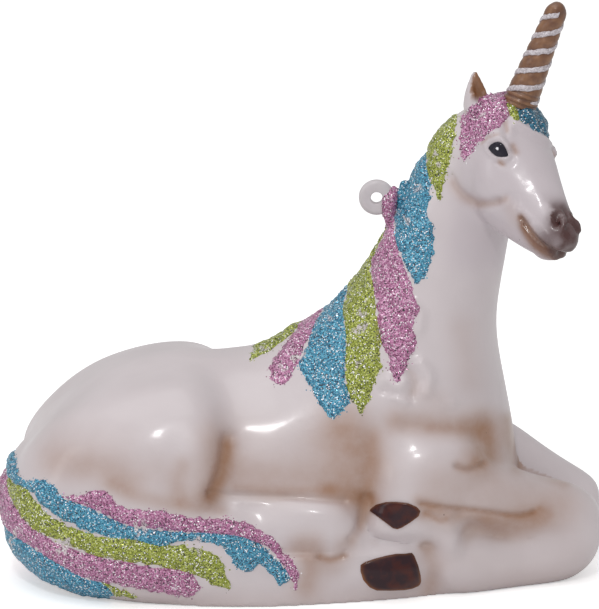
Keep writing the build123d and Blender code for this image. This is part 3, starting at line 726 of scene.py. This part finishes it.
picturePlaces, facingView = inView(places), normals @ viewBack
corners = numbersOf(body.data.loops, "vertex_index", kind=np.int64)
firstCorner = corners[numbersOf(body.data.polygons, "loop_start", kind=np.int64)]
flakeSites = {colour: [] for colour in ("pink", "blue", "green")}
margin = coat["margin"]
sowing = np.random.default_rng(21)
outlines = {name: np.vstack([curveThrough([*left, tip]), curveThrough([*right, tip])[::-1]])
            for name, (left, right, tip) in coatOutlines.items()}
for kind, names in coatLayers.items():
    limit = coatLimit(kind, places, facingView)
    reach = np.full(count, -1e9)
    for name in names:
        reach = np.maximum(reach, insideDistance(picturePlaces, outlines[name]))
    keep = (np.minimum(reach, limit * 6.0) > -12.0)[firstCorner]
    whole = bmesh.new()
    whole.from_mesh(body.data)
    dropFaces(whole, lambda face: not keep[face.index])
    earlier = []
    for name in names:
        line = outlines[name]
        patch = whole.copy()
        spots, directions = pointsAndWays(patch)
        away = np.minimum(insideDistance(inView(spots), line) * pixel / mm,
                          coatLimit(kind, spots, directions @ viewBack))
        patch.verts.index_update()
        dropFaces(patch, lambda face: away[face.verts[0].index] < -margin)
        bmesh.ops.subdivide_edges(patch, edges=patch.edges, cuts=1, use_grid_fill=True)
        bmesh.ops.smooth_vert(patch, verts=patch.verts, factor=0.5, use_axis_x=True, use_axis_y=True,
                              use_axis_z=True)
        patch.normal_update()
        spots, directions = pointsAndWays(patch)
        seen = inView(spots)
        depth = np.minimum(insideDistance(seen, line) * pixel / mm, coatLimit(kind, spots, directions @ viewBack))
        for other in earlier:
            depth = np.minimum(depth, -insideDistance(seen, other) * pixel / mm - coat["gap"])
        depth += coat["grow"] + coat["ragged"] * waves(spots, coat["raggedWaves"])
        rise = np.sqrt(np.clip(depth / coat["rise"], 0.0, 1.0))
        grain = coat["grain"] * sowing.uniform(-1, 1, len(spots))
        height = coat["thickness"] + coatExtra.get(name, 0.0) + waves(spots, coat["lumps"])
        height = (height + grain) * rise
        height -= coat["edgeSink"] * (1.0 - rise)
        bareness = smoothStep(*coat["bareFrom"], waves(spots, coat["bareWaves"]))
        spotWaves = waves(spots, coat["spotWaves"])
        for spotX, spotY, radius in bareSpots:
            apart = np.hypot(seen[:, 0] - spotX, seen[:, 1] - spotY) + spotWaves
            bareness = np.maximum(bareness, coat["spotBareness"] * smoothStep(radius, radius * 0.5, apart))
        height -= bareness * coat["bareSink"]
        for vertex, direction, h in zip(patch.verts, directions, height):
            vertex.co += Vector(direction * h * mm)
        addedBare = patch.verts.layers.float.new("bare")
        for vertex, value in zip(patch.verts, bareness):
            vertex[addedBare] = value
        outside = depth < -coat["rim"]
        patch.verts.index_update()
        dropFaces(patch, lambda face: all(outside[v.index] for v in face.verts))
        piece = pieceFrom(name + "_coat", patch)
        shell = piece.modifiers.new("underside", "SOLIDIFY")
        shell.thickness = coat["underside"] * mm
        shell.offset = -1.0
        applyModifiers(piece)
        colour = name.split("_")[1]
        tones = "deepBlue" if name == "forelock_blue" else colour
        finishPiece(piece, glitter[tones], [name] if name in nodes else ())
        earlier.append(line)
        # Flakes lie thickly on the coat and thin out past its edges
        share = 0.3 if name == "forelock_blue" else 1.0
        past = depth - coat["flakesFrom"]
        chance = share * np.where(past > 0.0, coat["flakes"] * (1.0 - 0.2 * bareness),
                                  coat["strays"] * np.exp(past / coat["strayReach"]))
        for i in np.nonzero((depth > -margin) & (sowing.uniform(size=len(spots)) < chance))[0]:
            flakeSites[colour].append((spots[i] + directions[i] * max(height[i], 0.02) * mm, directions[i]))
    whole.free()
print("coats made", {colour: len(sites) for colour, sites in flakeSites.items()})


# Swells of glitter round the stem of the eyelet: picture place and radius in mm of each lump
swell = {"pixels": {"pink": [(393.5, 193, 1.0), (390.5, 199, 1.35), (388.8, 206, 1.5), (388.5, 213, 1.3),
                             (390.5, 220, 1.2)],
                    "blue": [(405, 188, 1.2), (402.5, 194, 1.35), (402, 201, 1.3), (401.5, 208, 1.1)]},
         "flakes": 420, "aside": -0.4 * mm, "voxel": 0.16 * mm}
for colour, lumps in swell["pixels"].items():
    bm = bmesh.new()
    for u, v, radius in lumps:
        point = onViewPlane(u, v)
        point -= viewBack * ((point[1] - swell["aside"]) / viewBack[1])
        bmesh.ops.create_icosphere(bm, subdivisions=4, radius=radius * mm, matrix=Matrix.Translation(Vector(point)))
    piece = pieceFrom(colour + "_swell", bm)
    places = softened(piece, swell["voxel"], 16)
    normals = normalsOf(piece.data)
    rough = 0.12 * ripple(places, 1.0 * mm, 61) + 0.06 * sowing.uniform(-1, 1, len(places))
    places += normals * (rough * mm)[:, None]
    setPlaces(piece.data, places)
    addNumbers(piece.data, "bare", np.zeros(len(places)))
    for i in sowing.choice(len(places), size=swell["flakes"], replace=False):
        flakeSites[colour].append((places[i], normals[i]))
    finishPiece(piece, glitter[colour])
print("swells made")


# Loose flakes that catch the light on the coats
flake = {"smallest": 0.07, "largest": 0.175, "lean": 0.42, "batch": 150}
for colour, sites in flakeSites.items():
    heap = bmesh.new()
    shades = []
    for start in range(0, len(sites), flake["batch"]):
        batch = bmesh.new()
        for spot, direction in sites[start:start + flake["batch"]]:
            lean = Vector(direction) + Vector(sowing.normal(size=3) * flake["lean"])
            turned = lean.to_track_quat("Z", "Y").to_matrix().to_4x4()
            size = sowing.uniform(flake["smallest"], flake["largest"]) * mm
            place = Matrix.Translation(Vector(spot)) @ turned @ Matrix.Diagonal((size, size, size * 0.25, 1.0))
            made = bmesh.ops.create_cone(batch, segments=5, radius1=1.0, radius2=0.6, depth=1.0, cap_ends=True,
                                         cap_tris=False, matrix=place)
            shades += [sowing.uniform()] * len(made["verts"])
        mesh = bpy.data.meshes.new("batch")
        batch.to_mesh(mesh)
        batch.free()
        heap.from_mesh(mesh)
        bpy.data.meshes.remove(mesh)
    piece = pieceFrom(colour + "_flakes", heap)
    addNumbers(piece.data, "shade", shades)
    finishPiece(piece, flakeFinish[colour], smooth=False)
print("flakes sown")


# Hooves and eyes: domes laid on the body inside outlines of the picture
def castFromPicture(u, v):
    start = Vector(aim + viewBack * view["distance"])
    hit, normal, _, _ = bodyTree.ray_cast(start, (Vector(onViewPlane(u, v)) - start).normalized())
    return np.array(hit), np.array(normal)


def layDome(outline, height, sink, rim):
    # A ball whose upper half is spread over the outline and whose lower half is pressed into the body
    outline = np.array(outline, float)
    middle = outline.mean(0)
    ring = np.vstack([outline, outline[:1]])
    ring = np.concatenate([np.linspace(a, b, 12, endpoint=False) for a, b in zip(ring[:-1], ring[1:])])
    angles = np.arctan2(ring[:, 1] - middle[1], ring[:, 0] - middle[0])
    radii = np.hypot(ring[:, 0] - middle[0], ring[:, 1] - middle[1])
    order = np.argsort(angles)
    angles, radii = angles[order], radii[order]
    bm = bmesh.new()
    bmesh.ops.create_uvsphere(bm, u_segments=96, v_segments=40, radius=1.0)
    spots = np.array([v.co for v in bm.verts])
    around = np.arctan2(spots[:, 1], spots[:, 0])
    out = np.hypot(spots[:, 0], spots[:, 1])
    reach = np.interp(around, angles, radii, period=2 * math.pi) * out
    laid, ways = zip(*[castFromPicture(middle[0] + r * math.cos(a), middle[1] + r * math.sin(a))
                       for r, a in zip(reach, around)])
    laid, ways = np.array(laid), np.array(ways)
    outward = ways.mean(0) / np.linalg.norm(ways.mean(0))
    upper = np.sign(spots[:, 2]) * np.abs(spots[:, 2]) ** rim
    lift = np.where(spots[:, 2] > 0.0, upper * height, spots[:, 2] * sink)
    laid += outward * (lift * mm)[:, None]
    for vertex, spot in zip(bm.verts, laid):
        vertex.co = Vector(spot)
    bmesh.ops.recalc_face_normals(bm, faces=bm.faces)
    return bm, spots[:, 2], laid


hoof = {"height": 0.62, "sink": 0.9, "rim": 0.35, "lowest": 0.3 * mm}
hoofOutlines = {
    "hoof_fore": [(369, 510), (376, 504.5), (386, 502), (396, 501.8), (408, 503.2), (417, 507), (420.5, 511),
                  (419, 516), (411, 522), (402, 527.5), (397.5, 529), (393, 528), (384, 521), (376, 515)],
    "hoof_hind": [(360.5, 565), (365, 562), (375, 558.5), (387, 555.5), (396, 553.8), (406, 553.6), (411.5, 552.5),
                  (414, 555), (418, 565), (420.5, 575), (421, 582), (419, 585.5), (412, 588.5), (404, 590),
                  (390, 590.5), (376, 590.3), (369, 587), (363, 580), (360.3, 571)],
}
for name, outline in hoofOutlines.items():
    for side in ("right", "left"):
        bm, up, laid = layDome(outline, hoof["height"], hoof["sink"], hoof["rim"])
        if side == "left":
            bmesh.ops.scale(bm, vec=(1, -1, 1), verts=bm.verts)
            bmesh.ops.reverse_faces(bm, faces=bm.faces)
        for vertex in bm.verts:
            vertex.co.z = max(vertex.co.z, hoof["lowest"])
        seen = inView(laid)
        lower = smoothStep(-4, 6, seen[:, 1] - np.array(outline)[:, 1].mean())
        piece = pieceFrom(f"{name}_{side}_enamel", bm)
        addNumbers(piece.data, "edgeTintAndShade", smoothStep(0.55, 0.0, np.abs(up)) * (0.35 + 0.65 * lower))
        finishPiece(piece, paints["hoofEnamel"], [f"{name}_{side}"])

eye = {"height": 0.55, "sink": 0.8, "rim": 0.8, "glint": (497.2, 148.6), "glintRadius": 1.35}
eyeOutline = curveThrough([(488.2, 148.2), (490.5, 144.8), (494.5, 142.4), (498.8, 141.8), (503, 144), (506.3, 149.5),
                           (508.2, 155.6), (503.5, 156.8), (497.5, 156.4), (492.2, 153), (488.2, 148.2)], 4)[:-1]
for side in ("right", "left"):
    bm, up, laid = layDome(eyeOutline, eye["height"], eye["sink"], eye["rim"])
    apart = np.linalg.norm(inView(laid) - eye["glint"], axis=1)
    mask = (apart < eye["glintRadius"]) & (up > 0.0)
    if side == "left":
        for vertex, spot in zip(bm.verts, headMirror(laid)):
            vertex.co = Vector(spot)
        bmesh.ops.reverse_faces(bm, faces=bm.faces)
    piece = pieceFrom(f"eye_{side}_dome", bm)
    addNumbers(piece.data, "glint", mask)
    finishPiece(piece, paints["eyeEnamel"], ["eye_" + side])
print("hooves and eyes laid")


# The body is thinned, then its paint and its painted shade are laid in stored masks. The ears begin at a height in
# metres
maskSettings = {"farShare": 0.6, "ground": 0.16, "mostWashAndShade": 0.96, "earsFrom": 0.078, "earDark": 0.30, "headShade": 0.26,
                "hollowShade": 0.55}

thin = body.modifiers.new("thin", "DECIMATE")
thin.ratio = min(1.0, bodySettings["triangles"] / (2.0 * len(body.data.polygons)))
applyModifiers(body)
places, edges = placesOf(body.data), edgesOf(body.data)
normals = normalsOf(body.data)
count = len(places)
head = inHead(places)
onHead = isOnHead(places, headSettings["washesAndShade"])

# Brown wash and painted shade: picture line, width in mm, strength. The lines lay the brown wash in the creases and
# at the mouth, and painted shade in the recesses and under the belly
washesAndShade = {}
washesAndShade["body", "near"] = [
    ([(396, 422), (450, 426), (484, 424)], 3.6, 0.46),
    ([(430, 428), (455, 429), (474, 427)], 1.5, 0.26),
    ([(458, 466), (466, 468), (480, 463)], 1.4, 0.42),
    ([(482, 432), (488, 444), (482, 458)], 5.0, 0.74),
    ([(421, 504), (448, 507), (476, 510), (515, 515), (534, 512)], 0.7, 0.5),
    ([(424, 508), (452, 514), (500, 518), (545, 512)], 2.8, 0.4),
    ([(500, 514), (520, 518), (540, 508)], 0.8, 0.35),
    ([(440, 486), (500, 492), (560, 500)], 7.0, 0.3),
    ([(440, 520), (500, 526), (560, 520)], 5.0, 0.16),
    ([(486, 525), (514, 529), (542, 519)], 3.0, 0.46),
    ([(426, 514), (440, 521), (446, 519)], 0.8, 0.4),
    ([(418, 500), (430, 506), (424, 516)], 1.6, 0.3),
    ([(508, 420), (512, 442), (518, 466)], 2.2, 0.55),
    ([(522, 462), (545, 474), (565, 484)], 1.6, 0.3),
    ([(112, 484), (150, 500), (220, 510)], 2.2, 0.34),
    ([(300, 548), (310, 565), (306, 585)], 3.6, 0.46),
    ([(440, 560), (520, 566), (580, 556)], 5.0, 0.1),
    ([(420, 392), (440, 402)], 3.5, 0.14),
    ([(462, 330), (470, 380)], 4.5, 0.14),
    ([(466, 210), (480, 232), (492, 250)], 3.0, 0.22),
    ([(330, 400), (360, 420)], 4.0, 0.14),
]
washesAndShade["body", "both"] = [
    ([(345, 430), (362, 450), (368, 474), (360, 494)], 6.5, 0.5),
    ([(373, 440), (372, 470), (366, 494)], 2.8, 0.34),
    ([(325, 490), (350, 494), (372, 502)], 2.4, 0.55),
    ([(366, 502), (362, 520), (352, 540)], 1.6, 0.35),
    ([(427, 552), (433, 570), (429, 592)], 3.0, 0.3),
    ([(227, 446), (221, 474), (210, 497)], 2.6, 0.72),
    ([(214, 440), (208, 470), (202, 494)], 4.8, 0.34),
    ([(182, 466), (178, 480), (180, 500)], 2.6, 0.3),
    ([(160, 470), (176, 496)], 5.0, 0.16),
    ([(232, 470), (270, 478), (340, 476)], 5.4, 0.4),
    ([(230, 430), (280, 446), (340, 444)], 7.0, 0.12),
    ([(236, 488), (280, 491), (330, 490)], 1.5, 0.36),
    ([(56, 462), (98, 468), (130, 482)], 5.0, 0.36),
    ([(60, 440), (120, 452)], 7.0, 0.1),
    ([(320, 557), (332, 560), (344, 556)], 1.0, 0.55),
    ([(315, 545), (330, 566), (345, 548)], 3.4, 0.32),
    ([(330, 440), (352, 462)], 6.5, 0.24),
]
washesAndShade["head", "both"] = [
    ([(500, 162), (503, 164)], 0.7, 0.6),
    ([(513, 146), (516, 152)], 0.9, 0.5),
    ([(482, 143), (489, 137), (498, 134)], 0.4, 0.4),
    ([(505, 121), (507, 131)], 0.6, 0.5),
    ([(453, 184), (463, 197), (480, 204)], 1.6, 0.26),
    ([(480, 204), (494, 203), (506, 199)], 1.0, 0.36),
    ([(521, 218), (526, 226), (531, 233), (537, 240), (544, 246), (551, 251), (562, 256)], 1.0, 0.95),
    ([(523, 226), (528, 236), (535, 245), (544, 252), (556, 257)], 1.2, 0.85),
    ([(510, 208), (516, 220)], 2.0, 0.16),
]
# Brown muzzle paint; the darkest marks, on the far side of the muzzle and inside the nostrils, add painted shade
muzzlePaintAndShade = {}
muzzlePaintAndShade["head", "both"] = [
    ([(557, 232), (568, 238), (566, 250)], 4.2, 0.84),
    ([(564, 213), (575, 222), (577, 238)], 3.0, 0.8),
    ([(575, 224), (578, 240)], 1.8, 0.9),
    ([(556, 217), (558.5, 225)], 1.9, 0.97),
    ([(544, 238), (556, 250)], 2.2, 0.6),
    ([(522, 222), (527, 232), (536, 243), (546, 251), (558, 257)], 1.3, 0.5),
]


def washedAndShaded(tables):
    total = np.zeros(count)
    for blot in linesLaid(tables, places, normals, onHead, 0.62, (-0.1, 0.2), maskSettings["farShare"]):
        total = 1.0 - (1.0 - total) * (1.0 - blot)
    return total


def relaxedNumbers(values, steps):
    for _ in range(steps):
        values = neighbourMean(values, edges, count)
    return values


# Painted shade in the hollows, from how far each point lies below its neighbours
hollowShade = np.einsum("ij,ij->i", neighbourMean(places, edges, count) - places, normals) / mm
hollowShade = relaxedNumbers(hollowShade, 14)
innerEar = smoothStep(0.02, 0.07, head[:, 1]) * smoothStep(0.15, 0.05, np.abs(head[:, 0] - 0.09))
innerEar *= smoothStep(0.1, 0.4, normals @ np.array(headForward)) * (places[:, 2] > maskSettings["earsFrom"])
# Painted shade: the body darkens within 5 mm of the floor
washAndShade = np.maximum(washedAndShaded(washesAndShade), innerEar) + smoothStep(0.005, 0.0, places[:, 2]) * maskSettings["ground"]
# Painted shade over the front of the head
headShading = smoothStep(0.0, 0.12, head[:, 0]) * smoothStep(-0.95, -0.75, head[:, 1]) * onHead
masks = {
    "washAndShade": np.clip(washAndShade, 0.0, maskSettings["mostWashAndShade"]),
    "muzzle": np.maximum(washedAndShaded(muzzlePaintAndShade), innerEar * maskSettings["earDark"]),
    "headShade": relaxedNumbers(headShading, 10) * maskSettings["headShade"],
    "hollowShade": smoothStep(0.002, 0.022, hollowShade) * maskSettings["hollowShade"],
}
for name, values in masks.items():
    addNumbers(body.data, name, values)
finishPiece(body, lacquer, ["body_casting"])
print("body painted,", len(body.data.polygons), "faces")


# The horn: a spun cone whose bronze bands swell between the two white ones
horn = {"baseRadius": 2.9, "tipRadius": 1.75, "length": 18.4, "seat": 0.8, "pitch": 6.4, "bandStart": 0.9,
        "bandWidth": 1.0, "swell": 0.10, "lean": 75.8, "foot": (0.226, 0.075, 0.0), "rings": 110,
        "folds": (0.6, 2.6, 0.12), "segments": 96, "bandSteps": 180, "bandThickness": 0.48,
        "bandSink": (0.20, 0.08), "bandEnds": 0.8, "jags": ((0.06, 0.45, 41), (0.07, 1.3, 42))}
lean = math.radians(horn["lean"])
hornAxis = (headForward * math.cos(lean) + headUp * math.sin(lean)).normalized()
hornFoot = fromHead(horn["foot"]) - hornAxis * horn["seat"] * mm
hornAcross = hornAxis.orthogonal().normalized()
hornMatrix = Matrix((hornAcross, hornAxis.cross(hornAcross), hornAxis)).transposed().to_4x4()
hornMatrix.translation = hornFoot
coneLength = horn["length"] - horn["tipRadius"]
hornSlope = (horn["baseRadius"] - horn["tipRadius"]) / coneLength

stripe = placesOf(nodes["horn_stripe_first"].data) - np.array(hornFoot)
stripeHeight = stripe @ np.array(hornAxis) / mm
stripeAngle = np.arctan2(stripe @ np.array(hornAxis.cross(hornAcross)), stripe @ np.array(hornAcross))
bandPhase = np.angle(np.mean(np.exp(1j * (stripeAngle - 2 * math.pi * stripeHeight / horn["pitch"]))))


def spunAndClosed(bm, rise, angle, steps, merge):
    bmesh.ops.spin(bm, geom=bm.verts[:] + bm.edges[:], cent=(0, 0, 0), axis=(0, 0, 1), dvec=(0, 0, rise), angle=angle,
                   steps=steps, use_merge=merge)
    bmesh.ops.remove_doubles(bm, verts=bm.verts, dist=1e-7)
    bmesh.ops.holes_fill(bm, edges=[e for e in bm.edges if e.is_boundary], sides=horn["segments"])
    bmesh.ops.recalc_face_normals(bm, faces=bm.faces)


def widened(vertex, radius, grown):
    vertex.co.x *= grown / radius
    vertex.co.y *= grown / radius


bm = bmesh.new()
rings = horn["rings"]
profile = [(0.02, 0.0)] + [(horn["baseRadius"] - hornSlope * coneLength * i / rings, coneLength * i / rings)
                           for i in range(rings + 1)]
profile += [(horn["tipRadius"] * math.cos(a), coneLength + horn["tipRadius"] * math.sin(a))
            for a in [math.pi / 2 * i / 12 for i in range(1, 12)]]
profile.append((0.02, horn["length"]))
line = [bm.verts.new((r * mm, 0.0, h * mm)) for r, h in profile]
for first, second in zip(line[:-1], line[1:]):
    bm.edges.new((first, second))
spunAndClosed(bm, 0.0, 2 * math.pi, horn["segments"], True)
grooveShade = []
foldsFrom, foldsTo, foldHeight = horn["folds"]
for vertex in bm.verts:
    radius = math.hypot(vertex.co.x, vertex.co.y)
    height, angle = vertex.co.z / mm, math.atan2(vertex.co.y, vertex.co.x)
    wave = math.cos(2.0 * (angle - 2 * math.pi * height / horn["pitch"] - bandPhase))
    fade = min(1.0, radius / (1.2 * mm)) * min(1.0, max(0.0, height - 1.0))
    folds = 0.0
    if foldsFrom < height < foldsTo:
        folds = foldHeight * math.sin((height - foldsFrom + 0.25 * math.sin(angle)) * 2 * math.pi)
    if radius > 1e-6:
        widened(vertex, radius, radius + ((-wave * horn["swell"] - 0.04) * fade + folds) * mm)
    # painted shade: the bronze darkens in the grooves along the white bands and in the hollows of the folds
    grooveShade.append(max(0.0, (wave - 0.2) * 0.85) * fade + max(0.0, -folds * 4.5))
bmesh.ops.transform(bm, matrix=hornMatrix, verts=bm.verts)
piece = pieceFrom("horn_cone", bm)
addNumbers(piece.data, "edgeTintAndShade", grooveShade)
finishPiece(piece, paints["hornBronze"], ["horn"])

bandLength = coneLength - horn["bandStart"]
turns = bandLength / horn["pitch"]
for name, offset in (("first", 0.0), ("second", math.pi)):
    bm = bmesh.new()
    start = bandPhase + offset + 2 * math.pi * horn["bandStart"] / horn["pitch"]
    ring = bmesh.ops.create_circle(bm, segments=12, radius=1.0)["verts"]
    bmesh.ops.scale(bm, vec=(horn["bandThickness"] / 2 * mm, horn["bandWidth"] / 2 * mm, 1.0), verts=ring)
    bmesh.ops.rotate(bm, cent=(0, 0, 0), matrix=Matrix.Rotation(math.pi / 2, 3, "X"), verts=ring)
    bmesh.ops.translate(bm, vec=(horn["baseRadius"] * mm, 0, horn["bandStart"] * mm), verts=ring)
    steps = horn["bandSteps"]
    spunAndClosed(bm, bandLength * mm / steps, 2 * math.pi * turns, steps, False)
    bmesh.ops.rotate(bm, cent=(0, 0, 0), matrix=Matrix.Rotation(start, 3, "Z"), verts=bm.verts)
    spots = np.array([v.co for v in bm.verts])
    endSink, sink = horn["bandSink"]
    for vertex, shift in zip(bm.verts, waves(spots, horn["jags"])):
        height = vertex.co.z / mm
        radius = math.hypot(vertex.co.x, vertex.co.y)
        toEnd = max(0.0, min(height - horn["bandStart"], coneLength - height)) / horn["bandEnds"]
        ends = min(1.0, toEnd)
        widened(vertex, radius, radius - hornSlope * height * mm - (endSink * (1.0 - ends) + sink) * mm)
        vertex.co.z += shift * mm
    bmesh.ops.transform(bm, matrix=hornMatrix, verts=bm.verts)
    finishPiece(pieceFrom("horn_band_" + name, bm), bandWhite, ["horn_stripe_" + name])
print("horn made")


# The milky eyelet
eyelet = {"voxel": 0.12 * mm, "relaxing": 12}
piece = copyOfNodes("eyelet_moulding", ["hanging_eyelet"])
softened(piece, eyelet["voxel"], eyelet["relaxing"])
finishPiece(piece, paints["milkyPlastic"], ["hanging_eyelet"])
print("eyelet made")


# Floor, world and lamps
def cameraLevel(tree, socket, others, camera):
    # A strength that differs for the rays that come straight from the camera
    rays = tree.nodes.new("ShaderNodeLightPath")
    tree.links.new(stretched(tree, rays.outputs["Is Camera Ray"], 0.0, 1.0, others, camera), socket)


stage = {"floor": (0.93, 0.93, 0.93, 1.0), "world": 0.52, "whitening": 0.42, "floorDrop": 0.1 * mm}
# Each lamp: its place, width and height in metres, and power
lamps = {"key": ((-0.10, -0.75, 0.80), (0.10, 0.08), 2.1), "top": ((-0.15, -0.05, 0.95), (0.9, 0.7), 2.6),
         "side": ((-0.8, -0.45, 0.4), (0.3, 0.5), 0.8)}
bm = bmesh.new()
bmesh.ops.create_grid(bm, x_segments=1, y_segments=1, size=4.0)
floor = pieceFrom("floor", bm)
floor.location.z = -stage["floorDrop"]
floorMaterial, tree, shader = newMaterial("floorPaint", Base_Color=stage["floor"], Roughness=0.9,
                                          Emission_Color=(1.0, 1.0, 1.0, 1.0))
cameraLevel(tree, shader.inputs["Emission Strength"], 0.0, stage["whitening"])
floor.data.materials.append(floorMaterial)

world = bpy.data.worlds.new("studio")
scene.world = world
world.use_nodes = True
background = world.node_tree.nodes["Background"]
background.inputs["Color"].default_value = (1.0, 1.0, 1.0, 1.0)
cameraLevel(world.node_tree, background.inputs["Strength"], stage["world"], 1.0)

for name, (place, size, power) in lamps.items():
    data = bpy.data.lights.new(name, "AREA")
    data.shape = "RECTANGLE"
    data.size, data.size_y = size
    data.energy = power
    lamp = bpy.data.objects.new(name, data)
    lamp.location = place
    lamp.rotation_euler = (Vector((0, 0, 0.04)) - Vector(place)).to_track_quat("-Z", "Y").to_euler()
    scene.collection.objects.link(lamp)

scene.view_settings.view_transform = "Standard"
print("scene ready")
